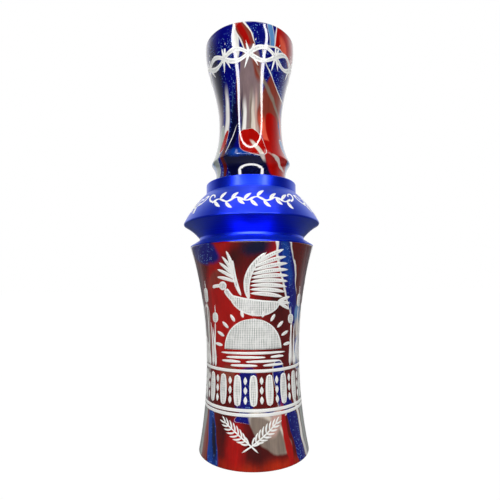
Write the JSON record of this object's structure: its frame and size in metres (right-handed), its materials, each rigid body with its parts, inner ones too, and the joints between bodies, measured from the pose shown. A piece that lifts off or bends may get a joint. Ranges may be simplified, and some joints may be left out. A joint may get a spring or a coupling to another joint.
{
  "type": "duck call",
  "caption": "Turned double-reed duck call: swirled resin barrel and flared stopper, anodised aluminium band, removable reed assembly.",
  "frame": {"origin": "centre of the mouth rim, the flat land that the call stands on", "axes": "+Z along the call's axis from the mouth to the exhaust bell; the reeds lie on the -Y side of the tone board; +X completes the set"},
  "size_m": [0.042, 0.042, 0.125],
  "materials": {
    "barrel_resin": "polished",
    "stopper_resin": "polished",
    "anodised_band": "satin",
    "tone_board_plastic": "satin",
    "reed_film": "satin",
    "wedge_cork": "matte",
    "oring_rubber": "matte",
    "engraving_fill": "matte"
  },
  "bodies": {
    "barrel": {"barrel": "barrel_resin", "band": "anodised_band"},
    "orings": {"upper_oring": "oring_rubber", "lower_oring": "oring_rubber"},
    "stopper": {"stopper": "stopper_resin"},
    "reed_assembly": {"tone_board": "tone_board_plastic", "tone_board_oring": "oring_rubber"},
    "wedge": {"wedge": "wedge_cork"},
    "long_reed": {"long_reed": "reed_film"},
    "short_reed": {"short_reed": "reed_film"}
  },
  "joints": [
    {"name": "stopper_pull", "type": "slide", "parent": "barrel", "child": "orings", "axis": [0, 0, 1], "range_m": [0, 0.07]},
    {"name": "stopper_turn", "type": "hinge", "parent": "orings", "child": "stopper", "pos_m": [0, 0, 0.07], "axis": [0, 0, 1], "continuous": true},
    {"name": "reed_assembly_pull", "type": "slide", "parent": "stopper", "child": "reed_assembly", "axis": [0, 0, -1], "range_m": [0, 0.014]},
    {"name": "wedge_pull", "type": "slide", "parent": "reed_assembly", "child": "wedge", "axis": [0, 0, -1], "range_m": [0, 0.011]},
    {"name": "long_reed_flex", "type": "hinge", "parent": "reed_assembly", "child": "long_reed", "pos_m": [0, -0.0007, 0.05055], "axis": [1, 0, 0], "range_deg": [-1, 1.4], "stiffness_Nm_per_rad": 0.005, "deforming": ["long_reed"]},
    {"name": "short_reed_flex", "type": "hinge", "parent": "reed_assembly", "child": "short_reed", "pos_m": [0, -0.0007, 0.05055], "axis": [1, 0, 0], "range_deg": [-1, 1.4], "stiffness_Nm_per_rad": 0.002, "deforming": ["short_reed"]}
  ],
  "couplings": [
    {"joint": "short_reed_flex", "follows": "long_reed_flex", "ratio": 1}
  ]
}
